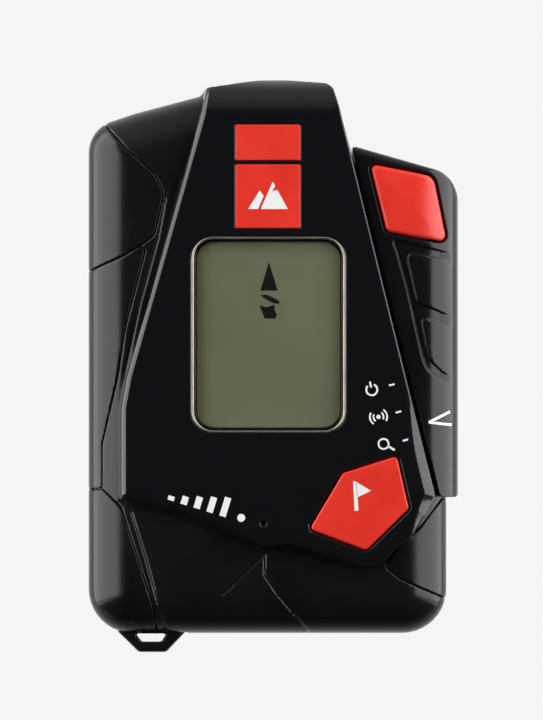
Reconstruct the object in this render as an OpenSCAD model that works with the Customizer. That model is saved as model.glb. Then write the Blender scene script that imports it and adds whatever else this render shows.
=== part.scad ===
// Avalanche transceiver, upright, front face towards -Y, X to the wearer's right as seen from the front.
// The origin is on the flat back face, at half the height. Outlines are lists of [x, z] points,
// anticlockwise seen from the front, with z counted from the bottom edge of the housing.

/* [Housing] */
// Depth from the front panel to the flat back
body_depth = 28; // [27:0.5:30]
// How far the front panel stands out of the front cover
panel_rise = 2.4; // [2:0.1:3]
// Wall of the two covers
wall = 2.4; // [2:0.1:2.6]
// Thickness of the grips and bumpers let into the front cover
skin = 1.1; // [0.8:0.1:1.3]
// Where the covers meet, behind the middle plane
split_back = 4; // [3:0.5:5]
// Corner radius of the housing seen from above
corner_r = 8; // [6:0.5:9]

/* [Mode slider] */
// Angle of the slider's track, leaning to the left
track_angle = 13.8; // [12:0.1:15]
// Travel to each side of the middle position
slide_travel = 5.5; // [5:0.1:6]
// How far the slider stands out of the side
slider_proud = 2.5; // [2:0.1:3]

/* [Clearances] */
// Gap between parts that move past each other
gap = 0.3; // [0.25:0.05:0.4]
// Gap between parts that are fixed together
seam = 0.05; // [0.03:0.01:0.1]
// Running clearance on the radius of a shaft
running = 0.1; // [0.05:0.01:0.1]

/* [Power] */
// Diameter of the cell
cell_d = 14.2; // [13.5:0.1:14.5]
// Length of the cell with its button
cell_length = 50.5; // [49.2:0.1:50.5]
// Height of the cell's axis over the bottom edge
cell_z = 17.5; // [17:0.5:19]

/* [Part shown] */
// Name of one node, or all

/* [Hidden] */
$fn = 48;
half_height = 57;
y_front = -body_depth / 2;
y_back = body_depth / 2;
y_face = y_front + panel_rise;
y_inner = y_face + wall;
y_split = split_back;
y_floor = y_back - wall;
side_x = 35.6;
track_z = 27.2;
lean = tan(track_angle);
board_front = -6.4;
board_back = -4.8;
cell_y = 4.4;
trough_r = cell_d / 2 + 0.4;
screw_at = [[-29.5, 95.5], [8.6, 103], [-30.3, 38], [22, 39]];
door_screw_at = [0, 29.6];
flag_at = [18.6, 26];
badge_x = 6.45;

// Right edge of the front panel's gap to the slider at height z
function track_x(z) = 33.6 - lean * (z - 28);
// Point s along the track and t out from the side wall
function on_track(t, s) = [side_x + t * cos(track_angle) - s * sin(track_angle),
    track_z + t * sin(track_angle) + s * cos(track_angle)];

function edge_normal(a, b) = [a[1] - b[1], b[0] - a[0]] / norm(b - a);
// Meeting point of the two edges at b, each moved inwards by its own distance
function moved_corner(b, n, m, d, e) = let (k = n[0] * m[1] - n[1] * m[0])
    abs(k) < 0.01 ? b + n * d : b + [(d * m[1] - e * n[1]) / k, (e * n[0] - d * m[0]) / k];
function inset_each(p, d) = let (c = len(p)) [for (i = [0:c - 1])
    moved_corner(p[i], edge_normal(p[(i + c - 1) % c], p[i]), edge_normal(p[i], p[(i + 1) % c]),
        d[(i + c - 1) % c], d[i])];
function inset(p, d) = inset_each(p, [for (q = p) d]);

// Corner of a polygon turned into a fillet of n steps
function fillet(a, b, c, r, n) = let (u = (a - b) / norm(a - b), v = (c - b) / norm(c - b),
    half = acos(max(-1, min(1, u * v))) / 2, m = b + (u + v) / norm(u + v) * r / sin(half),
    s = b + u * r / tan(half) - m, side = u[0] * v[1] - u[1] * v[0] < 0 ? 1 : -1,
    turn = side * (180 - 2 * half))
    [for (i = [0:n]) let (w = turn * i / n) m + [s[0] * cos(w) - s[1] * sin(w), s[0] * sin(w) + s[1] * cos(w)]];
function rounded(p, r, n = 4) = let (c = len(p))
    [for (i = [0:c - 1]) each fillet(p[(i + c - 1) % c], p[i], p[(i + 1) % c], r, n)];
function box_points(x0, z0, x1, z1) = [[x0, z0], [x1, z0], [x1, z1], [x0, z1]];

// Outlines
body_points = [[-27, 0], [27, 0], [30.4, 1.1], [33.2, 3.2], [34.9, 5.8], [side_x, 9.5], [side_x, 82],
    [34.6, 86.5], [32.6, 89.6], [29, 91.6], [20, 93.9], [16.6, 94.9], [14.9, 102.7], [13.1, 107.4],
    [11.7, 108.7], [0, 109.9], [-12.3, 108.4], [-13.2, 107.2], [-26, 103.8], [-30.2, 102.2],
    [-32.6, 100.4], [-34.6, 97.4], [-35.5, 92.2], [-35.8, 85], [-35.8, 10], [-34.8, 6], [-32.9, 3.2],
    [-30, 1.1]];
panel_points = [[-29.4, 27], [-16.1, 23.6], [-7, 19.7], [-1, 17.1], [4.2, 17.8], [18.7, 13.3],
    [21, 13.5], [28.8, 19.5], [30.6, 22.3], [31.1, 25.8], [track_x(40.6) - 0.3, 40.6],
    [track_x(102.7) - 0.3, 102.7], [13.1, 107.4], [11.7, 108.7], [0, 109.9], [-12.6, 108.3],
    [-23.5, 66.8], [-28.3, 51.1], [-29.4, 45]];
// How far the panel's face, and the foot of its shallow bevel, are in from each edge
panel_bevel = [1.9, 1.9, 1.9, 1.9, 1.9, 1.9, 1.9, 1.9, 1.9, 1.9, 1.9, 2.3, 4.5, 5, 5, 2, 1.9, 1.9, 1.9];
panel_foot = [0, 0, 0, 0, 0, 0, 0, 0, 0, 0, 0, 0.3, 2, 2.4, 2.4, 0, 0, 0, 0];
panel_drop = 0.5;
slider_points = [[track_x(track_z) + 0.1, track_z], [38.1, track_z], [38.1, 85.7], [37.2, 88.4],
    [35.4, 90.9], [32.6, 92.6], [29.2, 93.8], [20.7, 96.1], [track_x(97.2) + 0.1, 97.2]];
flag_points = [[8.3, 20.9], [19.5, 16.7], [28, 25], [25.6, 35.4], [14.9, 32]];
lock_points = [[23.9, 80.3], [35.2, 78.3], [32.6, 90.5], [20.9, 93]];
slider_space = [[10, 51], [35.4, 51], [35.4, 87.3], [34.3, 90], [31.9, 91.6], [21, 94.6], [10, 97]];
cap_zone = [[-45, 72.1], [-35.4, 72.3], [-28.9, 75.1], [-25.4, 77.2], [-23, 79.1], [-21.5, 82.5],
    [-20.9, 87.5], [-21.9, 90.8], [-28.1, 96.6], [-32.1, 100.9], [-36, 110], [-45, 110]];
grip_zone = [[-45, 28.7], [-33, 28.7], [-33, 36.9], [-32.2, 41.2], [-29.8, 51.2], [-28.4, 60.5],
    [-26.4, 67.8], [-24.3, 76.5], [-25.6, 77.2], [-28.9, 75.2], [-35.4, 72.4], [-45, 72.2]];
lower_left_zone = [[-45, -5], [-21.3, -5], [-22.8, 5.4], [-29.1, 25], [-32.9, 28.8], [-45, 28.8]];
lower_right_zone = [[23.2, 13.6], [26.2, 10.9], [29.7, 9.3], [35.2, 7], [45, 3], [45, 27],
    [34.6, 26.9], [30.2, 21.2], [26.2, 17.7]];

// Moves a sub-part from its drawing position to the row's origin
module placed() {
    translate([0, -body_depth / 2, -half_height]) children();
}

// A flat outline drawn in x and z, made solid between two depths
module slab(y0, y1) {
    translate([0, y1, 0]) rotate([90, 0, 0]) linear_extrude(height = y1 - y0) children();
}

// A round bar along Y
module post(at, r, y0, y1) {
    translate([at[0], y1, at[1]]) rotate([90, 0, 0]) cylinder(r = r, h = y1 - y0);
}

// A round bar along X
module rod(x0, x1, y, z, r) {
    translate([x0, y, z]) rotate([0, 90, 0]) cylinder(r = r, h = x1 - x0);
}

module block(x0, x1, y0, y1, z0, z1) {
    translate([x0, y0, z0]) cube([x1 - x0, y1 - y0, z1 - z0]);
}

// A solid through outlines at rising depths, for bevelled flanks. Each end is a fan of triangles
// round the given [x, z] centre.
module bevelled(outlines, depths, centre) {
    n = len(outlines[0]);
    last = len(depths) - 1;
    points = concat([for (k = [0:last]) for (p = outlines[k]) [p[0], depths[k], p[1]]],
        [for (k = [0, last]) [centre[0], depths[k], centre[1]]]);
    sides = [for (k = [0:last - 1]) for (i = [0:n - 1]) let (a = k * n + i, b = k * n + (i + 1) % n)
        each [[a, b, a + n], [b, b + n, a + n]]];
    ends = [for (i = [0:n - 1]) let (j = (i + 1) % n)
        each [[j, i, (last + 1) * n], [last * n + i, last * n + j, (last + 1) * n + 1]]];
    polyhedron(points = points, faces = concat(sides, ends), convexity = 6);
}

module rounded_box_2d(x0, x1, y0, y1, r) {
    translate([x0 + r, y0]) square([x1 - x0 - 2 * r, y1 - y0]);
    translate([x0, y0 + r]) square([x1 - x0, y1 - y0 - 2 * r]);
    for (x = [x0 + r, x1 - r]) {
        for (y = [y0 + r, y1 - r]) {
            translate([x, y]) circle(r = r);
        }
    }
}

// A bar along the height with its front right corner rounded
module upright_bar(x1, y0, r) {
    translate([0, 0, -5]) linear_extrude(height = 120) rounded_box_2d(-60, x1, y0, 60, r);
}

// Housing volume at a distance d under its outer surface
module housing(d) {
    intersection() {
        slab(y_face + d, y_back - d) polygon(inset(body_points, d));
        translate([0, 0, -5]) linear_extrude(height = 120)
            rounded_box_2d(-35.8 + d, side_x - d, y_face + d, y_back - d, corner_r - d);
        translate([-60, 0, 0]) rotate([90, 0, 90]) linear_extrude(height = 120)
            rounded_box_2d(y_face + d, y_back - d, d, 109.9 - d, 5 - d);
    }
}

// Everything on the body's side of the slider's track, moved inwards by d
module track_side(d) {
    translate([side_x, 0, track_z]) rotate([0, -track_angle, 0]) translate([0, 0, -80])
        linear_extrude(height = 220) rounded_box_2d(-120, -d, y_face + d, 60, 3 - d);
}

module front_half(d, y1) {
    intersection() {
        housing(d);
        track_side(d);
        block(-60, 60, y_front - 5, y1, -20, 130);
    }
}

module in_zone(points) {
    slab(y_front - 2, y_split + 2) polygon(points);
}

module let_in(points) {
    intersection() {
        difference() {
            front_half(0, y_split - seam);
            front_half(skin, y_split);
        }
        in_zone(inset(points, 0.25));
    }
}

// The rail that holds the slider's carrier to the side wall
module rail() {
    translate([side_x, -4.4, track_z]) rotate([0, -track_angle, 0]) {
        translate([-1, -1.5, 31]) cube([2.7, 3, 12.5]);
        translate([1.6, -3, 31]) cube([1.2, 6, 12.5]);
    }
}

module coil_spring(r, wire, length, turns) {
    steps = turns * 16;
    ring = 8;
    points = [for (i = [0:steps]) for (k = [0:ring - 1])
        let (w = 360 * i / 16, v = 360 * k / ring, q = r + wire * cos(v))
        [q * cos(w), q * sin(w), wire + (length - 2 * wire) * i / steps + wire * sin(v)]];
    sides = [for (i = [0:steps - 1]) for (k = [0:ring - 1]) let (a = i * ring + k,
        b = i * ring + (k + 1) % ring) each [[a, a + ring, b], [b, a + ring, b + ring]]];
    ends = [[for (k = [0:ring - 1]) k], [for (k = [ring - 1:-1:0]) steps * ring + k]];
    polyhedron(points = points, faces = concat(sides, ends), convexity = 8);
}

// Front half of the housing, with the display opening, button seat, screw posts and slider rail
module front_cover() color("#17181a") placed() {
    difference() {
        union() {
            difference() {
                front_half(0, y_split - seam);
                intersection() {
                    housing(wall);
                    track_side(wall);
                }
            }
            slab(y_inner - 0.1, y_inner + 0.8) polygon(inset(flag_points, -2.6));
            for (at = screw_at) {
                intersection() {
                    post(at, 3.2, y_inner - 0.1, y_split - seam);
                    front_half(1, y_split);
                }
            }
            rail();
        }
        for (zone = [cap_zone, grip_zone, lower_left_zone, lower_right_zone]) {
            difference() {
                in_zone(zone);
                front_half(skin + seam, y_split + 4);
            }
        }
        slab(y_face - 1, y_inner + 1) polygon(box_points(-17.2, 37, 17.4, 81));
        slab(y_face - 1, y_inner) polygon(inset(flag_points, -1.5));
        post(flag_at, 2.6, y_face, 0);
        slab(y_face - 1, y_inner + 1) polygon(box_points(-3.3, 96, 3.3, 99.4));
        post([-0.9, 21.9], 0.5, y_face - 1, y_inner + 1);
        for (at = screw_at) {
            post(at, 1.15, y_inner + 1.5, y_split + 1);
        }
        leash_slots();
    }
}

module leash_slots() {
    block(-30.3, -25.6, -4.5, y_split + 1, -2, wall + 1.9);
    block(-20.8, -16.1, -4.5, y_split + 1, -2, wall + 1.9);
}

// Rear half of the housing, with the sealed cell trough and the recess for the battery door
module rear_cover() color("#1a1b1d") placed() {
    difference() {
        union() {
            difference() {
                intersection() {
                    housing(0);
                    block(-60, 60, y_split, y_back + 1, -20, 130);
                }
                intersection() {
                    housing(wall);
                    track_side(wall);
                }
            }
            block(-30.8, 30.8, 9.8, y_floor + 0.2, 5.8, 34.2);
            intersection() {
                trough(1);
                block(-32, 32, -8, y_back, 0, 40);
            }
            post(door_screw_at, 4, y_split + 0.5, 10);
            for (at = screw_at) {
                intersection() {
                    post(at, 3.2, y_split, y_floor + 0.1);
                    housing(1);
                }
            }
        }
        trough(0);
        slab(y_floor + 0.2, y_back + 1) polygon(rounded(box_points(-30.3, 6.5, 30.3, 33.5), 4));
        post(door_screw_at, 5.3, 10.6, y_back);
        post(door_screw_at, 2.4 + seam, 5, y_back);
        for (at = screw_at) {
            post(at, 1.45, 0, y_back + 1);
            post(at, 2.9, y_back - 1.9, y_back + 1);
        }
        seal_ring(0.05);
    }
}

// The cell's space, or with a wall round it
module trough(w) {
    rod(-28 - w, 27.4 + w, cell_y, cell_z, trough_r + w);
    block(-28 - w, 27.4 + w, cell_y, y_back, cell_z - trough_r - w, cell_z + trough_r + w);
}

// Closed ring let into the rear cover's rim
module seal_ring(more) {
    slab(y_split - 0.02, y_split + 0.8 + more) difference() {
        polygon(inset(rim_points(), 0.9 - more));
        polygon(inset(rim_points(), 1.7 + more));
    }
}

// The rim where the covers meet, inside the slider's track
function rim_points() = [[-27, 0], [27, 0], [30.4, 1.1], [33.2, 3.2], [34.9, 5.8], [side_x, 9.5],
    [side_x, track_z], [side_x - lean * (94.1 - track_z), 94.1], [16.6, 94.9], [14.9, 102.7],
    [13.1, 107.4], [11.7, 108.7],
    [0, 109.9], [-12.3, 108.4], [-13.2, 107.2], [-26, 103.8], [-30.2, 102.2], [-32.6, 100.4],
    [-34.6, 97.4], [-35.5, 92.2], [-35.8, 85], [-35.8, 10], [-34.8, 6], [-32.9, 3.2], [-30, 1.1]];

module cover_seal() color("#2e5f8a") placed() {
    seal_ring(0);
}

// Raised glossy panel with a shallow bevel, steep edges and the rolled top
module front_panel() color("#0b0c0e") placed() {
    difference() {
        intersection() {
            bevelled([inset_each(panel_points, panel_bevel * 1.04 - panel_foot * 0.04),
                inset_each(panel_points, panel_foot), inset_each(panel_points, panel_foot * -0.04)],
                [y_front - panel_drop * 0.04, y_front + panel_drop,
                    y_face + (panel_rise - panel_drop) * 0.04], [0, 60]);
            block(-60, 60, y_front, y_face - seam, -20, 130);
        }
        slab(y_front - 1, y_front + 1.6) polygon(rounded(box_points(-15.25, 39.95, 15.45, 79.05), 4.3));
        slab(y_front - 1, y_face + 1) polygon(rounded(box_points(-14.3, 40.9, 14.5, 78.1), 3.5));
        slab(y_front - 1, y_face + 1) polygon(rounded(inset(flag_points, -0.4), 1));
        slab(y_face - 0.5, y_face + 1) polygon(inset(flag_points, -1.5));
        slab(y_front - 1, y_front + 0.85) polygon(box_points(-badge_x - seam, 80.65, badge_x + seam, 93.45));
        slab(y_front - 1, y_front + 1.25) polygon(box_points(-badge_x - seam, 94.15, badge_x + seam, 101.35));
        slab(y_front - 1, y_face + 1) polygon(box_points(-3.3, 96, 3.3, 99.4));
        post([-0.9, 21.9], 0.5, y_front - 1, y_face + 1);
    }
}

// Clear window flush with the panel
module display_window() color("#6a6b5a", 0.35) placed() {
    slab(y_front + 0.1, y_front + 1.55) polygon(rounded(box_points(-14.65, 40.55, 14.85, 78.45), 3.8));
}

// Pale line round the window
module window_frame() color("#b9ab92") placed() {
    slab(y_front + 0.05, y_front + 1.55) difference() {
        polygon(rounded(box_points(-15.2, 40, 15.4, 79), 4.3));
        polygon(rounded(box_points(-14.7, 40.5, 14.9, 78.5), 3.8));
    }
}

module display_glass() color("#66664f") placed() {
    block(-15.9, 16.1, -11.3, -9.2, 38.3, 79.7);
    slab(y_front + 1.65, -11.2) polygon(rounded(box_points(-14.1, 41.1, 14.3, 77.9), 3.3));
}

module back_light() color("#dfe0d8") placed() {
    block(-15.9, 16.1, -9.1, -6.9, 38.3, 79.7);
}

module display_holder() color("#e4e4e0") placed() {
    difference() {
        block(-17, 17.2, -11.4, board_front - seam, 37.2, 80.8);
        block(-16, 16.2, -12, board_front - 0.4, 38.2, 79.8);
    }
}

// Red strip that carries the transmit light to the front
module light_guide() color("#e5392d") placed() {
    block(-badge_x, badge_x, y_front, y_front + 1.2, 94.2, 101.3);
    block(-3.2, 3.2, y_front + 1.1, -7.6, 96.1, 99.3);
}

module indicator_led() color("#f2e9d8") placed() {
    block(-1.4, 1.4, -7.4, board_front - seam, 96.8, 98.6);
}

module front_badge() color("#e5392d") placed() {
    block(-badge_x, badge_x, y_front, y_front + 0.8, 80.7, 93.4);
}

// Five-sided push button, kept in by its flange under the panel
module flag_button() color("#e5392d") placed() {
    bevelled([rounded(inset(flag_points, 0.6), 0.8), rounded(flag_points, 0.8)], [-14.2, -13.6], flag_at);
    slab(-13.6, -11.2) polygon(rounded(flag_points, 0.8));
    slab(-11.2, -10.3) polygon(rounded(inset(flag_points, -1.1), 0.8));
    post(flag_at, 2.4, -10.4, -8.3);
}

// Soft pad that pushes the flag button back
module flag_pad() color("#8b8f93") placed() {
    slab(-10.28, y_inner - 0.02) difference() {
        polygon(inset(flag_points, 1.2));
        translate(flag_at) circle(r = 2.7);
    }
}

module flag_switch() color("#c9cbcc") placed() {
    block(flag_at[0] - 2.6, flag_at[0] + 2.6, -7.1, board_front - seam, flag_at[1] - 2.6, flag_at[1] + 2.6);
    post(flag_at, 1.3, -7.45, -7);
}

module upper_left_cap() color("#1d1e20") placed() {
    let_in(cap_zone);
}

module left_grip() color("#222325") placed() {
    let_in(grip_zone);
}

module lower_left_bumper() color("#1d1e20") placed() {
    difference() {
        let_in(lower_left_zone);
        leash_slots();
    }
}

module lower_right_bumper() color("#1d1e20") placed() {
    let_in(lower_right_zone);
}

// Loop for a leash, hooked over the bottom wall before the covers close
module leash_loop() color("#141517") placed() {
    difference() {
        intersection() {
            slab(-4.2, 3.4) polygon([[-25.8, -3.8], [-20.3, -3.8], [-16.4, 0.3], [-16.4, wall + 0.1],
                [-30, wall + 0.1], [-30, 0.3]]);
            translate([-60, 0, 0]) rotate([90, 0, 90]) linear_extrude(height = 60)
                rounded_box_2d(-4.2, 3.4, -3.8, 12, 1.6);
        }
        slab(-5, 4) polygon([[-25.2, -1.6], [-20.9, -1.6], [-20, 0], [-20.5, wall + 1], [-25.9, wall + 1],
            [-26.4, 0]]);
    }
    block(-30, -16.4, -4.2, 3.4, wall + 0.1, wall + 1.6);
}

// Outer shell of the mode slider: a wedge that lies against the leaning side wall
module mode_slider() color("#121315") placed() {
    difference() {
        intersection() {
            slab(-12.8, y_split - gap) polygon(slider_points);
            upright_bar(side_x + slider_proud, -12.8, 9);
            translate([-60, 0, 0]) rotate([90, 0, 90]) linear_extrude(height = 120)
                rounded_box_2d(-12.8, 60, -20, 97.4, 4);
        }
        track_side(-gap);
        intersection() {
            slab(-10.6, 1.7) polygon(slider_space);
            upright_bar(side_x - 0.2, -10.6, 7);
        }
        slab(-14, -7) polygon(rounded(inset(lock_points, -0.35), 1.6));
        magnet_space(seam, 0.3);
        grip_groove([23.7, 78.3], [38.6, 74.6]);
        grip_groove([29.3, 64.6], [38.6, 60.8]);
    }
    post([28.9, 85.3], 2.2, -2.6, 1.8);
    post([28.9, 85.3], 1.1, -6.2, -2.5);
}

// A finger groove across the slider's face
module grip_groove(a, b) {
    n = edge_normal(a, b);
    slab(-14, -12.1) polygon([a - n * 0.5, b - n * 0.5, b + n * 0.5, a + n * 0.5]);
}

module magnet_space(more, start) {
    translate([side_x, -4.4, track_z]) rotate([0, -track_angle, 0]) translate([start, 0, 17])
        rotate([0, 90, 0]) cylinder(r = 2.5 + more, h = 2.7 - start + more);
}

module slider_magnet() color("#a9adb1") placed() {
    magnet_space(0, 0.6);
}

// Inner plate of the slider, with the slot that runs on the side wall's rail
module slider_carrier() color("#2b2c2f") placed() {
    intersection() {
        translate([side_x, 0, track_z]) rotate([0, -track_angle, 0]) difference() {
            translate([0.35, -10.5, 25]) cube([4.2, 12.1, 24.3]);
            translate([0, -6.2, 20]) cube([2, 3.6, 60]);
            translate([1.3, -7.7, 20]) cube([1.8, 6.6, 60]);
        }
        upright_bar(side_x - 0.35, -10.4, 7);
    }
}

// Sprung button in the slider that has to be pressed before the slider leaves the locked end. Its
// face follows the slider's rounded edge, and its flange keeps it in.
module lock_button() color("#e5392d") placed() {
    intersection() {
        union() {
            slab(-13.3, -9.3) polygon(rounded(lock_points, 1.2));
            intersection() {
                slab(-10.25, -9.3) polygon(rounded(inset(lock_points, -0.9), 1.2));
                slab(-11, -9) polygon(inset(slider_space, 0.35));
                upright_bar(35, -10.3, 7);
            }
        }
        upright_bar(38.5, -13.3, 9.4);
    }
}

module lock_spring() color("#c4c7ca") placed() {
    translate([28.9, -2.65, 85.3]) rotate([90, 0, 0]) coil_spring(1.75, 0.25, 6.6, 6);
}

module main_board() color("#1f6b3f") placed() {
    difference() {
        slab(board_front, board_back) polygon([[-31.5, 9], [31, 9], [32, 12], [32, 26],
            [track_x(88) - 2, 88], [11, 90], [10, 100], [-10, 100], [-11, 90], [-32, 88], [-32, 12]]);
        for (at = screw_at) {
            post(at, 3.6, -20, 20);
        }
    }
}

module board_chips() color("#26282b") placed() {
    block(-6, 6, board_back + seam, -3.4, 44, 56);
    block(-20, -13, board_back + seam, -3.6, 30, 36);
    block(12, 18, board_back + seam, -3.6, 52, 58);
    block(-14, -8, board_back + seam, -3.4, 74, 82);
    block(4, 9, board_back + seam, -3.8, 30.5, 34.5);
}

module position_sensors() color("#2d2f33") placed() {
    for (s = [17 - slide_travel, 17, 17 + slide_travel]) {
        at = on_track(-5.6, s);
        block(at[0] - 0.8, at[0] + 0.8, board_back + seam, -3.6, at[1] - 1.5, at[1] + 1.5);
    }
}

// Three antennas at right angles: along the height, across the width and through the depth
module long_core() color("#3a3b3d") placed() {
    translate([-26.3, 3.6, 43]) cylinder(r = 3.4, h = 48.5);
}

module long_coil() color("#b5651d") placed() {
    translate([-26.3, 3.6, 50]) difference() {
        cylinder(r = 4.6, h = 34);
        translate([0, 0, -1]) cylinder(r = 3.4 + seam, h = 36);
    }
}

module cross_core() color("#3a3b3d") placed() {
    rod(-21, 3.5, 3.6, 96.6, 2.8);
}

module cross_coil() color("#b5651d") placed() {
    difference() {
        rod(-16, -1.5, 3.6, 96.6, 3.9);
        rod(-17, 0, 3.6, 96.6, 2.8 + seam);
    }
}

module upright_core() color("#3a3b3d") placed() {
    post([6, 72], 3, -4.7, 8.6);
}

module upright_coil() color("#b5651d") placed() {
    difference() {
        post([6, 72], 8, -3, 5);
        post([6, 72], 3 + seam, -4, 6);
    }
}

module sounder() color("#c9a227") placed() {
    post([-16.1, 14.5], 6.2, y_inner + 0.1, board_front - seam);
}

module cell() color("#3c4f66") placed() {
    rod(-24.3, cell_length - 25.3, cell_y, cell_z, cell_d / 2);
    rod(cell_length - 25.4, cell_length - 24.3, cell_y, cell_z, 2.7);
}

module plus_contact() color("#d0d2d4") placed() {
    block(26.4, 26.8, -0.2, 9, cell_z - 4, cell_z + 4);
    block(26.4, 27.35, 9, 9.4, cell_z - 4, cell_z + 4);
}

module minus_spring() color("#d0d2d4") placed() {
    translate([-27.95, cell_y, cell_z]) rotate([0, 90, 0]) coil_spring(3.2, 0.35, 3.55, 3);
}

// Lift-off door over the cell, kept by one coin-slot screw
module battery_door() color("#1b1c1e") placed() {
    difference() {
        union() {
            slab(12.35, y_back) polygon(rounded(box_points(-30, 6.8, 30, 33.2), 3.7));
            post(door_screw_at, 5, 10.9, 12.6);
        }
        post(door_screw_at, 1.6 + running, 0, 20);
        post(door_screw_at, 4.5, 12.2, 20);
    }
}

module door_seal() color("#8b8f93") placed() {
    slab(y_floor + 0.22, 12.3) difference() {
        polygon(rounded(box_points(-29.8, 7, 29.8, 33), 3.5));
        polygon(rounded(box_points(-28.6, 8.2, 28.6, 31.8), 2.5));
        translate(door_screw_at) circle(r = 5.2);
    }
}

module door_screw() color("#b9bcc0") placed() {
    difference() {
        post(door_screw_at, 4.2, 12.3, y_back - 0.1);
        block(-6, 6, y_back - 1.1, y_back + 1, door_screw_at[1] - 0.6, door_screw_at[1] + 0.6);
    }
    post(door_screw_at, 1.6, 6.4, 12.4);
}

module door_insert() color("#c8a44a") placed() {
    difference() {
        post(door_screw_at, 2.4, 5.4, 10.4);
        post(door_screw_at, 1.6 + running, 5, 11);
    }
}

module housing_screws() color("#8f9296") placed() {
    for (at = screw_at) {
        difference() {
            union() {
                post(at, 2.6, y_back - 1.8, y_back - 0.3);
                post(at, 1.1, -4, y_back - 1.7);
            }
            translate([at[0], y_back - 1.2, at[1]]) rotate([-90, 0, 0]) cylinder(r = 1.2, h = 4, $fn = 6);
        }
    }
}

front_cover();
rear_cover();
cover_seal();
front_panel();
display_window();
window_frame();
display_glass();
display_holder();
back_light();
light_guide();
indicator_led();
front_badge();
flag_button();
flag_pad();
flag_switch();
upper_left_cap();
left_grip();
lower_left_bumper();
lower_right_bumper();
leash_loop();
mode_slider();
slider_carrier();
slider_magnet();
lock_button();
lock_spring();
main_board();
board_chips();
position_sensors();
long_core();
long_coil();
cross_core();
cross_coil();
upright_core();
upright_coil();
sounder();
cell();
plus_contact();
minus_spring();
battery_door();
door_seal();
door_screw();
door_insert();
housing_screws();
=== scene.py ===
"""Looks of the avalanche transceiver.

Drawing coordinates are millimetres: x to the right, y into the depth (front panel at -14, back at
14) and z up from the housing's bottom edge. Shapes are distance fields on a grid of points, turned
into smooth meshes by surface nets.
"""
import math
import bpy
import numpy as np
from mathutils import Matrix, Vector


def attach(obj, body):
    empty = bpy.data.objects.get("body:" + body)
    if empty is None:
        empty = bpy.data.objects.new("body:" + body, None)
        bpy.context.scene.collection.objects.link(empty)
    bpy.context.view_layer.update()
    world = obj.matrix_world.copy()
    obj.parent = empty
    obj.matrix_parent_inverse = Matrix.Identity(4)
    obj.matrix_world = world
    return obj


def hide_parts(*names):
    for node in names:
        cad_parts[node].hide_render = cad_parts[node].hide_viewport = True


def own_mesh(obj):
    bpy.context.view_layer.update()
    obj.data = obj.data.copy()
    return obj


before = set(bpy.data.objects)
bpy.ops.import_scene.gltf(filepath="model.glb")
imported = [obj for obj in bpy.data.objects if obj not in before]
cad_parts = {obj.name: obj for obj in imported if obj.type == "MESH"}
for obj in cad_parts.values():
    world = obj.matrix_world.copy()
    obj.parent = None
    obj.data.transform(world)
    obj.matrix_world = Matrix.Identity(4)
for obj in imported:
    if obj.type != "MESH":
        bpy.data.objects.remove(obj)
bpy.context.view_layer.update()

# Depths of the panel's face, the housing's face beside it, the joint of the covers and the back
FRONT, FACE, SPLIT, BACK = -14.0, -11.6, 4.0, 14.0
# Height of the frame's origin over the housing's bottom edge
HALF = 57.0
# The housing's right side, and the height at which the slider's leaning side wall starts
SIDE, TRACK_Z = 35.6, 27.2
TRACK_DEGREES = 13.8
TRACK = math.radians(TRACK_DEGREES)
LEAN = math.tan(TRACK)
# The slider's right side, its face and the radius of the roll between them
SLIDER_SIDE, SLIDER_FACE, SLIDER_ROLL = 38.1, -12.8, 9
# Places of round features, as x, z
FLAG_AT = (18.6, 26.0)
LOCK_AT = (28.9, 85.3)
BEEP_HOLE = (-0.9, 21.9)
DOOR_SCREW = (0.0, 29.6)
SCREWS = [(-29.5, 95.5), (8.6, 103.0), (-30.3, 38.0), (22.0, 39.0)]


def grid_step(fine):
    return fine


def track_x(z):
    """Left edge of the slider's gap at height z."""
    return 33.6 - LEAN * (z - 28.0)


# ---------------- outlines, as x, z, corner radius

# The housing, then the front panel's edge
BODY = [(-35.8, 0, 8.8), (35.6, 0, 8.8), (35.6, 91.4, 6), (16.4, 96.8, 0.6), (14.9, 102.7, 3),
        (12.7, 109.6, 2.4), (0, 110.6, 40), (-12.4, 108.7, 0.9), (-13.4, 107.2, 1.4),
        (-26.5, 103.7, 10), (-35.8, 100.6, 9)]
PANEL = [(-29.4, 27, 1.2), (-16.1, 23.5, 6), (-7, 19.7, 6), (-1, 17.1, 1.6), (4.2, 17.8, 2.5),
         (18.9, 13.2, 1.8), (22, 13.7, 2), (28.8, 19.5, 3), (31, 23.5, 3),
         (track_x(40.6) - 0.3, 40.6, 14), (track_x(102.7) - 0.3, 102.7, 6), (12.7, 109.6, 2.4),
         (0, 110.6, 40), (-12.4, 108.7, 0.9), (-23.5, 66.8, 40), (-28.3, 51.1, 16),
         (-29.4, 45, 10)]
# The panel's flanks run on past its rolled top, and out to the slider's gap at the lower right
FLANKS = (PANEL[:8] + [(31.4, 23.7, 3), (track_x(27.8) - 0.32, 27.8, 1.6),
                       (track_x(140) - 0.3, 140, 0), (-3.2, 140, 0)] + PANEL[15:])
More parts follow.
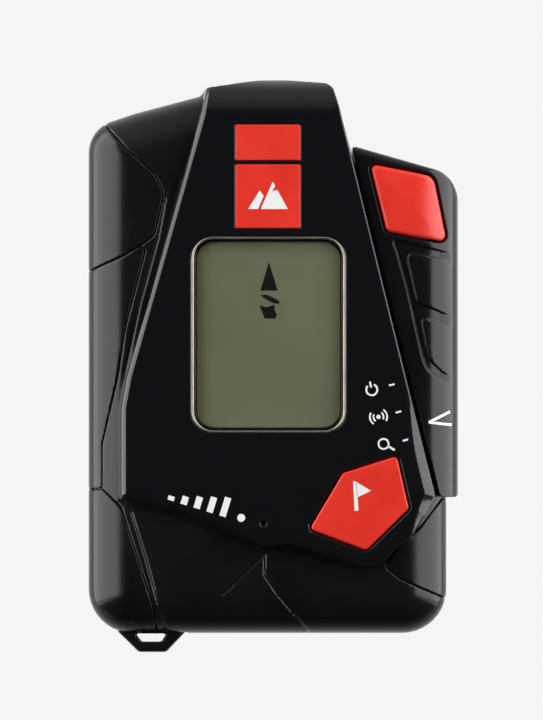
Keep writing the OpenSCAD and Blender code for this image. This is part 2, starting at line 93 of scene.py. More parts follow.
# The slider's edge, the space inside it, and the smaller space that the lock button's flange fills
SLIDER = [(track_x(TRACK_Z) + 0.4, TRACK_Z, 0.9), (SLIDER_SIDE, TRACK_Z, 0.9),
          (SLIDER_SIDE, 91.2, 7), (track_x(97.4) - 0.05, 97.4, 0.3)]
SLIDER_SPACE = [(10, 51, 0), (35.4, 51, 1), (35.4, 87.3, 1), (34.3, 90, 1), (31.9, 91.6, 1),
                (21, 94.6, 1), (10, 97, 0)]
LOCK_SPACE = [(10, 51, 0), (35, 51, 1), (35, 87.3, 1), (34, 89.8, 1), (31.7, 91.2, 1),
              (21, 94.2, 1), (10, 96.6, 0)]
FLAG = [(8.3, 20.9, 0.8), (19.5, 16.7, 0.8), (28, 25, 0.8), (25.6, 35.4, 0.8), (14.9, 32, 1.2)]
LOCK = [(23.6, 80.1, 1.3), (35.6, 77.9, 1.2), (32.9, 91.0, 2.4), (20.3, 93.5, 0.9)]
# The skins let into the front cover. Those at the sides run on past the housing
CAP = [(-45, 72.1, 0), (-35.4, 72.3, 0), (-28.9, 75.1, 8), (-25.4, 77.2, 6), (-22.6, 79.2, 3),
       (-20.6, 87.8, 3.5), (-22.6, 91.6, 3), (-28.1, 96.6, 6), (-32.1, 100.9, 2), (-36, 110, 0),
       (-45, 110, 0)]
GRIP = [(-45, 28.7, 0), (-33, 28.7, 0.8), (-33, 37.6, 8), (-29.8, 51.2, 20), (-28.4, 60.5, 20),
        (-24.3, 76.5, 0.8), (-25.6, 77.2, 0.5), (-28.9, 75.2, 8), (-35.4, 72.4, 0), (-45, 72.2, 0)]
LOWER_LEFT = [(-45, -5, 0), (-21.3, -5, 0), (-22.8, 5.4, 8), (-29.1, 25.2, 3), (-32.9, 28.8, 0.6),
              (-45, 28.8, 0)]
LOWER_RIGHT = [(23.0, 13.6, 1), (26.2, 10.9, 4), (29.7, 9.3, 8), (35.2, 7, 6), (45, 3, 0),
               (45, 27, 0), (34.7, 27, 1), (30.2, 21.2, 8), (26.2, 17.7, 6)]
SKINS = {"cap_skin": ("upper_left_cap", CAP), "grip_skin": ("left_grip", GRIP),
         "low_left_skin": ("lower_left_bumper", LOWER_LEFT),
         "low_right_skin": ("lower_right_bumper", LOWER_RIGHT)}


def box_outline(x0, z0, x1, z1, r):
    """A rectangle from (x0, z0) to (x1, z1) with rounded corners."""
    return [(x0, z0, r), (x1, z0, r), (x1, z1, r), (x0, z1, r)]


# The display's opening, the seat of its frame line around it, and the frame line's two edges
WINDOW_HOLE = box_outline(-14.3, 40.9, 14.5, 78.1, 3.5)
WINDOW_SEAT = box_outline(-15.25, 39.95, 15.45, 79.05, 4.3)
LINE_OUTER = box_outline(-15.2, 40, 15.4, 79, 4.3)
LINE_INNER = box_outline(-14.72, 40.48, 14.92, 78.52, 3.8)
# The badge, the light strip over it and the strip's stem, with their openings in the panel
BADGE = box_outline(-6.45, 80.7, 6.45, 93.4, 0.35)
BADGE_SEAT = box_outline(-6.5, 80.65, 6.5, 93.45, 0.2)
STRIP = box_outline(-6.45, 94.2, 6.45, 101.3, 0.35)
STRIP_SEAT = box_outline(-6.5, 94.15, 6.5, 101.35, 0.2)
STEM = box_outline(-3.2, 96.1, 3.2, 99.3, 0.3)
STEM_HOLE = box_outline(-3.3, 96, 3.3, 99.4, 0.3)


def rounded(corners, parts=10):
    """The points of an outline with a fillet at each corner."""
    out = []
    count = len(corners)
    for i, (bx, bz, r) in enumerate(corners):
        b = np.array([bx, bz], float)
        a = np.array(corners[i - 1][:2], float)
        c = np.array(corners[(i + 1) % count][:2], float)
        u, v = a - b, c - b
        lu, lv = np.linalg.norm(u), np.linalg.norm(v)
        u, v = u / lu, v / lv
        half = math.acos(max(-1.0, min(1.0, float(u @ v)))) / 2
        r = min(r, 0.49 * min(lu, lv) * math.tan(half))
        if r < 0.05 or half > 1.56:
            out.append(b)
            continue
        mid = b + (u + v) / np.linalg.norm(u + v) * r / math.sin(half)
        s = b + u * r / math.tan(half) - mid
        side = 1 if u[0] * v[1] - u[1] * v[0] < 0 else -1
        turn = side * (math.pi - 2 * half)
        for k in range(parts + 1):
            w = turn * k / parts
            cw, sw = math.cos(w), math.sin(w)
            out.append(mid + np.array([s[0] * cw - s[1] * sw, s[0] * sw + s[1] * cw]))
    return np.array(out)


# ---------------- distance fields

def steps(a, b, h):
    """Sample positions from a to b, about h apart."""
    return np.linspace(a, b, max(2, int(round((b - a) / h)) + 1))


def joined(*runs):
    """Sample positions from runs that share their ends."""
    return np.unique(np.round(np.concatenate(runs), 6))


class Field:
    """Sample points of a rectilinear grid, as arrays that broadcast together."""

    def __init__(self, x, y, z):
        self.axes = (x, y, z)
        self.x, self.y, self.z = x[:, None, None], y[None, :, None], z[None, None, :]

    def outline(self, corners):
        """Signed distance to an outline in x and z, negative inside."""
        return polygon_distance(self.x, self.z, rounded(corners))

    def line(self, points):
        """Distance to an open line in x and z."""
        return line_distance(self.x, self.z, points)

    def post(self, at, r):
        """Signed distance to a round post along y."""
        return np.sqrt((self.x - at[0]) ** 2 + (self.z - at[1]) ** 2) - r


def line_distance(px, pz, points):
    """Distance of points to an open line."""
    d = np.inf
    for (ax, az), (bx, bz) in zip(points[:-1], points[1:]):
        ex, ez = bx - ax, bz - az
        t = np.clip(((px - ax) * ex + (pz - az) * ez) / (ex * ex + ez * ez), 0, 1)
        d = np.minimum(d, (px - ax - t * ex) ** 2 + (pz - az - t * ez) ** 2)
    return np.sqrt(d)


def polygon_distance(px, pz, p):
    """Signed distance of points to a closed polygon, negative inside."""
    ring = np.vstack([p, p[:1]])
    inside = np.zeros(np.broadcast(px, pz).shape, bool)
    for (ax, az), (bx, bz) in zip(ring[:-1], ring[1:]):
        if az != bz:
            inside ^= ((az > pz) != (bz > pz)) & (px < (bx - ax) * (pz - az) / (bz - az) + ax)
    d = line_distance(px, pz, ring)
    return np.where(inside, -d, d)


def high(a, b, k=0.0):
    """Intersection of two fields, with a fillet of about k, which may vary over the grid."""
    if np.ndim(k) == 0 and k <= 0:
        return np.maximum(a, b)
    h = np.maximum(k - np.abs(a - b), 0) / k
    return np.maximum(a, b) + h * h * k / 4


def low(a, b, k=0.0):
    """Union of two fields, with a fillet of about k."""
    return -high(-a, -b, k)


def cut(a, b, k=0.0):
    """Field a without field b."""
    return high(a, -b, k)


def rolled(edge, depth, r, ry):
    """A solid whose edge rolls over, r wide and ry deep. depth is the distance behind its face."""
    q1 = edge + r
    q2 = (ry - depth) * (r / ry)
    return np.sqrt(np.maximum(q1, 0) ** 2 + np.maximum(q2, 0) ** 2) + np.minimum(
        np.maximum(q1, q2), 0) - r


# ---------------- surface nets

def nets(field, f):
    """Vertices, quads and outward normals of the zero surface of f."""
    x, y, z = field.axes
    f = np.ascontiguousarray(np.broadcast_to(f, (len(x), len(y), len(z))), np.float32)
    s = f < 0
    corners = [(a, b, c) for a in (0, 1) for b in (0, 1) for c in (0, 1)]
    shape = tuple(n - 1 for n in f.shape)
    filled = np.zeros(shape, np.uint8)
    for a, b, c in corners:
        filled += s[a:a + shape[0], b:b + shape[1], c:c + shape[2]]
    cells = np.flatnonzero((filled > 0) & (filled < 8))
    i, j, k = np.unravel_index(cells, shape)
    v = {(a, b, c): f[i + a, j + b, k + c] for a, b, c in corners}
    total = np.zeros((len(cells), 3))
    count = np.zeros(len(cells))
    for p in corners:
        for axis in range(3):
            if p[axis]:
                continue
            q = tuple(1 if n == axis else p[n] for n in range(3))
            mask = (v[p] < 0) != (v[q] < 0)
            t = np.where(mask, v[p] / np.where(mask, v[p] - v[q], 1), 0)
            for n in range(3):
                total[:, n] += mask * (p[n] + (t if n == axis else 0))
            count += mask
    inner = total / count[:, None]
    steps_at = [np.diff(x)[i], np.diff(y)[j], np.diff(z)[k]]
    verts = np.stack([x[i] + inner[:, 0] * steps_at[0], y[j] + inner[:, 1] * steps_at[1],
                      z[k] + inner[:, 2] * steps_at[2]], 1)
    normals = np.zeros_like(verts)
    for axis in range(3):
        for p in corners:
            weight = 1.0
            for n in range(3):
                if n != axis:
                    weight = weight * (inner[:, n] if p[n] else 1 - inner[:, n])
            normals[:, axis] += (1 if p[axis] else -1) * weight * v[p] / steps_at[axis]
    normals /= np.maximum(np.linalg.norm(normals, axis=1, keepdims=True), 1e-9)
    index = np.full(shape, -1, np.int32)
    index.ravel()[cells] = np.arange(len(cells), dtype=np.int32)
    quads = []
    around = {0: [(0, -1, -1), (0, 0, -1), (0, 0, 0), (0, -1, 0)],
              1: [(-1, 0, -1), (-1, 0, 0), (0, 0, 0), (0, 0, -1)],
              2: [(-1, -1, 0), (0, -1, 0), (0, 0, 0), (-1, 0, 0)]}
    for axis in range(3):
        one = [slice(None)] * 3
        two = [slice(None)] * 3
        one[axis], two[axis] = slice(0, -1), slice(1, None)
        here, there = s[tuple(one)], s[tuple(two)]
        e = np.stack(np.nonzero(here != there), 1)
        keep = np.ones(len(e), bool)
        for n in range(3):
            if n != axis:
                keep &= (e[:, n] > 0) & (e[:, n] < f.shape[n] - 1)
        e = e[keep]
        ring = np.stack([index[tuple((e + np.array(o)).T)] for o in around[axis]], 1)
        out = here[tuple(e.T)]
        ring[~out] = ring[~out][:, ::-1]
        quads.append(ring)
    return verts, np.concatenate(quads), normals


def metres(points):
    """Drawing coordinates in the frame's own metres."""
    p = np.asarray(points, float)
    return np.stack([p[:, 0], p[:, 1] - BACK, p[:, 2] - HALF], 1) / 1000


def placed(name, data):
    """A new object in the scene."""
    ob = bpy.data.objects.new(name, data)
    bpy.context.scene.collection.objects.link(ob)
    return ob


def mesh_object(name, verts, faces, normals=None, smooth=True):
    """A mesh object from drawing coordinates. faces is an array of quads or a list of lists."""
    me = bpy.data.meshes.new(name)
    if isinstance(faces, np.ndarray):
        me.vertices.add(len(verts))
        me.vertices.foreach_set("co", metres(verts).astype(np.float32).ravel())
        me.loops.add(faces.size)
        me.loops.foreach_set("vertex_index", faces.astype(np.int32).ravel())
        me.polygons.add(len(faces))
        starts = np.arange(0, faces.size, faces.shape[1], dtype=np.int32)
        me.polygons.foreach_set("loop_start", starts)
        me.update(calc_edges=True)
    else:
        me.from_pydata(metres(verts).tolist(), [], faces)
    me.polygons.foreach_set("use_smooth", np.full(len(me.polygons), smooth))
    if normals is not None:
        me.normals_split_custom_set_from_vertices(normals)
    me.update()
    return placed(name, me)


def piece(name, field, f, material, body, slot, *nodes):
    """A smooth mesh of the field, riding on a body in place of CAD nodes."""
    ob = mesh_object(name, *nets(field, f))
    finish(ob, material, body, slot, *nodes)
    return ob


def finish(ob, material, body, slot, *nodes):
    """Give a piece its look and its body, and hide the CAD nodes that it stands for. slot is not
    used.
    """
    ob.data.materials.append(material)
    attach(ob, body)
    if nodes:
        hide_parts(*nodes)


# ---------------- materials

def feed(value, into):
    """Link an output to a socket, or set the socket's own value."""
    if isinstance(value, bpy.types.NodeSocket):
        into.id_data.links.new(value, into)
    else:
        into.default_value = value


def opaque(colour, k=1.0):
    """A colour with its alpha, k times as bright."""
    return tuple(c * k for c in colour) + (1,)


def blended(tree, amount, a, b):
    """A shader that is a where amount is 0 and b where it is 1."""
    node = tree.nodes.new("ShaderNodeMixShader")
    for socket, value in enumerate((amount, a, b)):
        feed(value, node.inputs[socket])
    return node.outputs["Shader"]


class Nodes:
    """A material's node tree with short calls for the nodes that these looks use."""

    def __init__(self, name):
        self.mat = bpy.data.materials.new(name)
        self.mat.use_nodes = True
        self.tree = self.mat.node_tree
        self.bsdf = self.tree.nodes["Principled BSDF"]
        self.coord = self.tree.nodes.new("ShaderNodeTexCoord").outputs["Object"]

    def add(self, kind, **values):
        """A new node with these settings."""
        node = self.tree.nodes.new(kind)
        for key, value in values.items():
            setattr(node, key, value)
        return node

    def surface(self, colour, rough, normal, **values):
        """The finished material, with its colour, roughness, normal and any other inputs."""
        for key, value in (("Base Color", colour), ("Roughness", rough), ("Normal", normal)):
            feed(value, self.bsdf.inputs[key])
        for key, value in values.items():
            feed(value, self.bsdf.inputs[key.replace("_", " ")])
        return self.mat

    def noise(self, per_mm, detail=3.0, rough=0.55, stretch=None):
        """Noise with this many features to a millimetre."""
        node = self.add("ShaderNodeTexNoise")
        node.inputs["Scale"].default_value = per_mm * 1000
        node.inputs["Detail"].default_value = detail
        node.inputs["Roughness"].default_value = rough
        source = self.coord
        if stretch:
            mapping = self.add("ShaderNodeMapping")
            mapping.inputs["Scale"].default_value = stretch
            feed(source, mapping.inputs["Vector"])
            source = mapping.outputs["Vector"]
        feed(source, node.inputs["Vector"])
        return node.outputs["Fac"]

    def span(self, value, low_in, high_in, low_out, high_out):
        """The value, stretched from one range to another and held at its ends."""
        node = self.add("ShaderNodeMapRange")
        for key, number in zip(("Value", "From Min", "From Max", "To Min", "To Max"),
                               (value, low_in, high_in, low_out, high_out)):
            feed(number, node.inputs[key])
        return node.outputs["Result"]

    def mix(self, amount, a, b):
        """Colour a where amount is 0, colour b where it is 1."""
        node = self.add("ShaderNodeMix", data_type="RGBA")
        for key, value in (("Factor", amount), ("A", a), ("B", b)):
            feed(value, node.inputs[key])
        return node.outputs["Result"]

    def maths(self, operation, a, b):
        """Two values, combined."""
        node = self.add("ShaderNodeMath", operation=operation)
        feed(a, node.inputs[0])
        feed(b, node.inputs[1])
        return node.outputs["Value"]

    def bump(self, height, depth_mm, under=None):
        """A normal for a surface this much raised where height is 1."""
        node = self.add("ShaderNodeBump")
        node.inputs["Distance"].default_value = depth_mm / 1000
        node.inputs["Strength"].default_value = 1.0
        feed(height, node.inputs["Height"])
        if under is not None:
            feed(under, node.inputs["Normal"])
        return node.outputs["Normal"]

    def edges(self, radius_mm):
        """A normal that rounds the edges."""
        node = self.add("ShaderNodeBevel", samples=4)
        node.inputs["Radius"].default_value = radius_mm / 1000
        return node.outputs["Normal"]

    def wear(self, start=0.54, end=0.62):
        """Near 1 on convex edges."""
        node = self.add("ShaderNodeNewGeometry")
        return self.span(node.outputs["Pointiness"], start, end, 0, 1)


def moulded(name, colour, rough, grain_mm, depth_mm, scuff=0.06, spec=0.5, bevel_mm=0.0):
    """Moulded plastic or rubber: fine grain, uneven gloss, faint handling marks, paler edges."""
    m = Nodes(name)
    grain = m.noise(1 / grain_mm, 4.0, 0.6)
    broad = m.noise(0.06, 3.0, 0.5)
    marks = m.noise(0.35, 6.0, 0.7, (1, 1, 0.25))
    light = opaque(min(1, c * 1.16 + 0.0006) for c in colour)
    base = m.mix(m.span(broad, 0.35, 0.65, 0, 1), opaque(colour, 0.86), light)
    worn = opaque(min(1, c * 1.9 + 0.012) for c in colour)
    rubbed = m.maths("MULTIPLY", m.wear(), m.span(marks, 0.4, 0.62, 0.15, 0.75))
    uneven = m.maths("ADD", m.span(broad, 0.3, 0.7, rough - 0.03, rough + 0.03),
                     m.span(marks, 0.5, 0.75, 0, scuff))
    normal = m.bump(grain, depth_mm, m.edges(bevel_mm) if bevel_mm else None)
    return m.surface(m.mix(rubbed, base, worn), uneven, normal, Specular_IOR_Level=spec)


def polished(name, colour, rough=0.07):
    """Polished black plastic: slight orange peel, hair scratches and dust."""
    m = Nodes(name)
    peel = m.noise(0.16, 2.0, 0.4)
    hair = m.noise(2.2, 5.0, 0.75, (1, 1, 0.06))
    speck = m.span(m.noise(3.0, 2.0, 0.5), 0.74, 0.8, 0, 0.25)
    dusty = m.maths("ADD", m.span(hair, 0.45, 0.8, rough, rough + 0.1),
                    m.maths("MULTIPLY", speck, 1.2))
    return m.surface(m.mix(speck, opaque(colour), (0.05, 0.05, 0.052, 1)), dusty,
                     m.bump(peel, 0.012))


def red_plastic(name, colour, rough=0.4):
    """Tinted red plastic, a little pale at its edges."""
    m = Nodes(name)
    grain = m.noise(5.0, 3.0)
    broad = m.noise(0.12, 3.0)
    light = (min(1, colour[0] * 1.04), colour[1] * 1.15, colour[2] * 1.15, 1)
    base = m.mix(m.span(broad, 0.3, 0.7, 0, 1), opaque(colour, 0.95), light)
    rim = m.maths("MULTIPLY", m.wear(0.52, 0.6), 0.25)
    return m.surface(m.mix(rim, base, (0.86, 0.16, 0.12, 1)),
                     m.span(broad, 0.3, 0.7, rough - 0.04, rough + 0.05), m.bump(grain, 0.006),
                     Subsurface_Weight=0.08, Subsurface_Scale=0.0002)


def printed(name, colour):
    """Screen-printed ink: slightly uneven cover."""
    m = Nodes(name)
    cover = m.noise(9.0, 3.0)
    return m.surface(m.mix(m.span(cover, 0.35, 0.6, 0.55, 1), opaque(colour, 0.8),
                           opaque(colour)),
                     m.span(cover, 0.3, 0.7, 0.35, 0.5), m.bump(cover, 0.01))


def metal(name, colour, rough, stretch=(1, 1, 1)):
    """Brushed or polished metal with stains and softened edges."""
    m = Nodes(name)
    brush = m.noise(4.0, 4.0, 0.6, stretch)
    stain = m.span(m.noise(0.3, 3.0), 0.3, 0.7, 0, 1)
    return m.surface(m.mix(stain, opaque(colour, 0.7), opaque(colour)),
                     m.span(brush, 0.3, 0.7, rough - 0.05, rough + 0.12),
                     m.bump(brush, 0.01, m.edges(0.08)), Metallic=1.0)


def wound(name, axis):
    """Enamelled wire, wound about an axis."""
    m = Nodes(name)
    wave = m.add("ShaderNodeTexWave", bands_direction=axis)
    wave.inputs["Scale"].default_value = 1600
    wave.inputs["Distortion"].default_value = 0.3
    feed(m.coord, wave.inputs["Vector"])
    turns = wave.outputs["Fac"]
    return m.surface(m.mix(turns, (0.10, 0.03, 0.008, 1), (0.52, 0.2, 0.06, 1)),
                     m.span(m.noise(1.0), 0.3, 0.7, 0.22, 0.38), m.bump(turns, 0.08), Metallic=0.6)


def circuit(name):
    """Green solder resist over fine tracks."""
    m = Nodes(name)
    brick = m.add("ShaderNodeTexBrick")
    brick.inputs["Scale"].default_value = 420
    brick.inputs["Mortar Size"].default_value = 0.03
    feed(m.coord, brick.inputs["Vector"])
    tracks = brick.outputs["Fac"]
    return m.surface(m.mix(tracks, (0.012, 0.11, 0.04, 1), (0.03, 0.2, 0.07, 1)),
                     m.span(m.noise(0.8), 0.3, 0.7, 0.25, 0.4), m.bump(tracks, 0.03, m.edges(0.1)))


def liquid_crystal(name):
    """Olive grey film, slightly uneven, with painted shade darkening its left and upper edges."""
    m = Nodes(name)
    broad = m.noise(0.05, 2.0)
    fine = m.noise(6.0, 3.0)
    where = m.add("ShaderNodeSeparateXYZ")
    feed(m.coord, where.inputs["Vector"])
    # Painted shade: the colour darkens towards the film's left and upper edges, standing in for
    # the shadow of the recess around the display.
    across = m.span(where.outputs["X"], -0.0142, -0.0112, 1, 0)
    up = m.span(where.outputs["Z"], 0.0185, 0.0208, 0, 0.7)
    painted_shade = m.maths("MULTIPLY", m.maths("MAXIMUM", across, up), 0.3)
    base = m.mix(m.span(broad, 0.3, 0.7, 0, 1), (0.208, 0.209, 0.142, 1), (0.234, 0.235, 0.160, 1))
    base = m.mix(painted_shade, base, (0.11, 0.112, 0.078, 1))
    base = m.mix(m.span(fine, 0.4, 0.7, 0, 0.25), base, (0.18, 0.182, 0.122, 1))
    return m.surface(base, m.span(fine, 0.3, 0.7, 0.32, 0.42), m.bump(fine, 0.004))


def clear_window(name):
    """Thin clear window: lets light straight through and keeps its gloss."""
    m = Nodes(name)
    m.tree.nodes.remove(m.bsdf)
    gloss = m.add("ShaderNodeBsdfGlossy")
    clear = m.add("ShaderNodeBsdfTransparent")
    clear.inputs["Color"].default_value = (0.95, 0.955, 0.93, 1)
    facing = m.add("ShaderNodeLayerWeight").outputs["Facing"]
    mirror = m.maths("ADD", m.maths("MULTIPLY", m.maths("POWER", facing, 5.0), 0.9), 0.035)
    smear = m.noise(0.12, 4.0)
    feed(m.span(smear, 0.35, 0.7, 0.03, 0.1), gloss.inputs["Roughness"])
    feed(m.bump(smear, 0.004), gloss.inputs["Normal"])
    both = blended(m.tree, mirror, clear.outputs["BSDF"], gloss.outputs["BSDF"])
    feed(both, m.tree.nodes["Material Output"].inputs["Surface"])
    return m.mat


COVER = moulded("cover_plastic_look", (0.0060, 0.0061, 0.0074), 0.2, 0.28, 0.004, spec=0.3)
REAR = moulded("rear_plastic_look", (0.011, 0.0115, 0.013), 0.4, 0.35, 0.03)
GRIP_RUBBER = moulded("grip_rubber_look", (0.0045, 0.0047, 0.0058), 0.23, 0.22, 0.005, scuff=0.08,
                      spec=0.3)
SLIDER_PLASTIC = moulded("slider_plastic_look", (0.0042, 0.0044, 0.0056), 0.22, 0.3, 0.004,
                         spec=0.3)
GLOSS = polished("panel_plastic_look", (0.0052, 0.0056, 0.0068))
RED = red_plastic("red_plastic_look", (0.76, 0.028, 0.015))
RED_CLEAR = red_plastic("red_clear_look", (0.77, 0.031, 0.016))
WHITE_INK = printed("white_ink_look", (0.9, 0.9, 0.9))
BLACK_INK = printed("segment_ink_look", (0.003, 0.003, 0.003))
PALE = metal("pale_line_look", (0.52, 0.47, 0.38), 0.35)
STEEL = metal("screw_steel_look", (0.5, 0.51, 0.52), 0.28, (1, 8, 1))
SPRING = metal("spring_steel_look", (0.62, 0.63, 0.64), 0.22)

CARRIED = {
    "cover_seal": moulded("seal_look", (0.03, 0.1, 0.24), 0.45, 0.3, 0.02),
    "display_window": clear_window("window_clear_look"),
    "display_glass": liquid_crystal("display_film_look"),
    "display_holder": moulded("holder_look", (0.62, 0.62, 0.6), 0.4, 0.3, 0.02),
    "back_light": moulded("diffuser_look", (0.7, 0.7, 0.66), 0.3, 0.6, 0.01),
    "indicator_led": moulded("led_look", (0.8, 0.72, 0.5), 0.2, 0.6, 0.01),
    "flag_pad": moulded("pad_look", (0.22, 0.23, 0.25), 0.5, 0.3, 0.02),
    "flag_switch": metal("switch_look", (0.55, 0.56, 0.57), 0.3),
    "slider_carrier": moulded("carrier_look", (0.02, 0.02, 0.022), 0.4, 0.3, 0.02, bevel_mm=0.15),
    "slider_magnet": metal("magnet_look", (0.6, 0.6, 0.62), 0.15),
    "lock_spring": SPRING,
    "main_board": circuit("board_look"),
    "board_chips": moulded("chip_look", (0.018, 0.018, 0.02), 0.45, 0.15, 0.01, bevel_mm=0.1),
    "position_sensors": moulded("sensor_look", (0.02, 0.02, 0.022), 0.4, 0.15, 0.01, bevel_mm=0.1),
    "long_coil": wound("long_coil_look", "Z"),
    "cross_coil": wound("cross_coil_look", "X"),
    "upright_coil": wound("upright_coil_look", "Y"),
    "sounder": metal("sounder_look", (0.62, 0.46, 0.16), 0.3),
    "cell": moulded("cell_look", (0.035, 0.06, 0.11), 0.28, 0.5, 0.01, bevel_mm=0.3),
    "plus_contact": SPRING,
    "minus_spring": SPRING,
    "door_seal": moulded("door_seal_look", (0.2, 0.21, 0.23), 0.5, 0.3, 0.02),
    "door_screw": STEEL,
    "door_insert": metal("brass_look", (0.66, 0.47, 0.17), 0.25),
    "housing_screws": STEEL,
}
for core, title in (("long", "ferrite"), ("cross", "ferrite_cross"), ("upright", "ferrite_up")):
    CARRIED[core + "_core"] = moulded(title + "_look", (0.03, 0.03, 0.033), 0.55, 0.2, 0.03)
for node_name, look in CARRIED.items():
    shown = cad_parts[node_name]
    for slot_at in range(len(shown.data.materials)):
        shown.data.materials[slot_at] = look


# ---------------- housing

def dome_roll(g):
    """Field of the rolled top of the housing, from the panel's plane to its top edge."""
    over = np.maximum(g.z - 102.0, 0) / 8.6
    front = np.maximum(-5.5 - g.y, 0) / 8.5
    return (np.sqrt(over ** 2 + front ** 2) - 1) * 8.6


def ease(a, b, x):
    """Smooth step from 0 at a to 1 at b."""
    t = np.clip((x - a) / (b - a), 0, 1)
    return t * t * (3 - 2 * t)


def panel_back(g):
    """Depth of the front panel's back edge: just behind its face, and over the dome at the top."""
    return FACE + 6.1 * ease(90, 99, g.z)


def bevelled_face(g):
    """The front face with its shallow bevel, which grows steep and round at the lower right."""
    steep = ease(51, 34, g.z) * ease(17, 27, g.z) * ease(22, 26, g.x)
    tilt = 0.27 + 0.33 * steep
    slope = (g.outline(FLANKS) + 1.9 + 0.3 * steep) * np.sin(tilt) + (FRONT - g.y) * np.cos(tilt)
    return high(slope, FRONT - g.y, 0.25 + 0.75 * steep)


def beside_slider(g):
    """Where the panel runs out past its straight edge, towards the slider's gap."""
    return high(g.outline(FLANKS), high(26 - g.x, np.abs(g.z - 35.5) - 15.5))


def seat(g, gap=0.0, travel=0.0):
    """The leaning side wall under the slider, rolled wider at its lower end."""
    wide = ease(50, 42, g.z + travel)
    return rolled(track_frame(g)[0] - gap, g.y - FACE + gap, 3 + 2.5 * wide + gap,
                  3 + wide + gap)


def track_frame(g):
    """Distance out from the leaning side wall, and distance up along it."""
    dx, dz = g.x - SIDE, g.z - TRACK_Z
    return (dx * math.cos(TRACK) + dz * math.sin(TRACK),
            dz * math.cos(TRACK) - dx * math.sin(TRACK))


def front_base(g):
    """The front cover's outer form with its rounded sides, its dome and its slider seat."""
    body = rolled(g.outline(BODY), g.y - FACE, 10.5, 8.4)
    form = high(body, seat(g), 0.6)
    rim = g.outline(PANEL)
    spine = high(high(rim + 0.16, panel_back(g) - g.y + 0.1, 0.3), dome_roll(g))
    form = low(form, spine, 0.5)
    return low(form, high(beside_slider(g) + 0.05, FACE + 0.1 - g.y))


CRACK_LINES = [
    [(-27.2, 24.2), (-24.2, 14.7), (-21.3, 3.8), (-20.6, 0.6)],
    [(-0.9, 15.6), (-9.0, 7.8)],
    [(-0.6, 15.7), (-0.8, 11.8), (1.9, 7.8), (4.9, 4.3), (7.9, 0.3)],
]
HAIR_LINE = [(-19.6, 91.0), (-21.9, 78.7), (-25.4, 66.0), (-28.4, 52.0)]


def front_cover():
    """The front half of the housing, with its creases and the recesses of the skins."""
    h = grid_step(0.28)
    deep = joined(steps(-14.3, -4.5, h), steps(-4.5, 3.3, 1.3), steps(3.3, 4.5, 0.3))
    g = Field(steps(-36.6, 36.4, h), deep, steps(-0.8, 110.8, h))
    base = front_base(g)
    f = high(base, g.y - (SPLIT - 0.05), 0.3)
    for _, zone in SKINS.values():
        f = cut(f, high(g.outline(zone), -(base + 1.15)), 0.3)
    for points in CRACK_LINES:
        f = cut(f, high(g.line(points) - 0.16, -(base + 0.3)), 0.3)
    fading = base + 0.3 - 0.6 * ease(84, 96, g.z)
    f = cut(f, high(g.line(HAIR_LINE) - 0.14, -fading), 0.3)
    ring = high(np.abs(g.outline(PANEL) - 0.62) - 0.22, high(g.z - 26.5, -29.6 - g.x))
    f = cut(f, high(ring, -(base + 0.35 - 0.6 * ease(25, 31, g.x))), 0.35)
    f = low(f, high(g.post((-16.1, 11.7), 4.0), base - 0.05, 0.1), 0.1)
    f = cut(f, high(g.outline(box_outline(-17.2, 37, 17.4, 81, 1)), g.y - 2))
    f = cut(f, high(g.outline(FLAG) - 1.5, g.y + 9.2))
    f = cut(f, high(g.post(FLAG_AT, 2.7), g.y))
    f = cut(f, high(g.outline(STEM_HOLE), g.y))
    hollow = high(high(base + 2.4, -(g.y + 9.2)), g.outline(FLAG) * -1 - 2.6)
    f = cut(f, hollow)
    for x0, x1 in ((-30.3, -25.6), (-20.8, -16.1)):
        slot = high(high(np.abs(g.x - (x0 + x1) / 2) - (x1 - x0) / 2, g.z - 4.3), -(g.y + 4.5))
        f = cut(f, slot)
    out, along = track_frame(g)
    reach = np.abs(along - 37.25) - 6.25
    stem = high(np.abs(out - 0.35) - 1.35, np.abs(g.y + 4.4) - 1.5)
    head = high(np.abs(out - 2.2) - 0.6, np.abs(g.y + 4.4) - 3)
    f = low(f, high(low(stem, head), reach))
    piece("front_shell", g, f, COVER, "housing", "cover_plastic", "front_cover")


def skin_piece(name, node, zone):
    """A grip or bumper let into the front cover, with softly rounded edges."""
    h = grid_step(0.24)
    p = rounded(zone)
    x0, x1 = max(-36.6, p[:, 0].min() - 0.6), min(36.4, p[:, 0].max() + 0.6)
    z0, z1 = max(-0.8, p[:, 1].min() - 0.6), min(105, p[:, 1].max() + 0.6)
    deep = joined(steps(-12.6, -4.5, h), steps(-4.5, 3.3, 0.9), steps(3.3, 4.5, 0.3))
    g = Field(steps(x0, x1, h), deep, steps(z0, z1, h))
    base = front_base(g)
    f = high(high(base, g.outline(zone) + 0.13, 0.36), -(base + 1.1))
    f = high(f, g.y - (SPLIT - 0.1), 0.3)
    piece(name, g, f, GRIP_RUBBER, "housing", "grip_rubber", node)


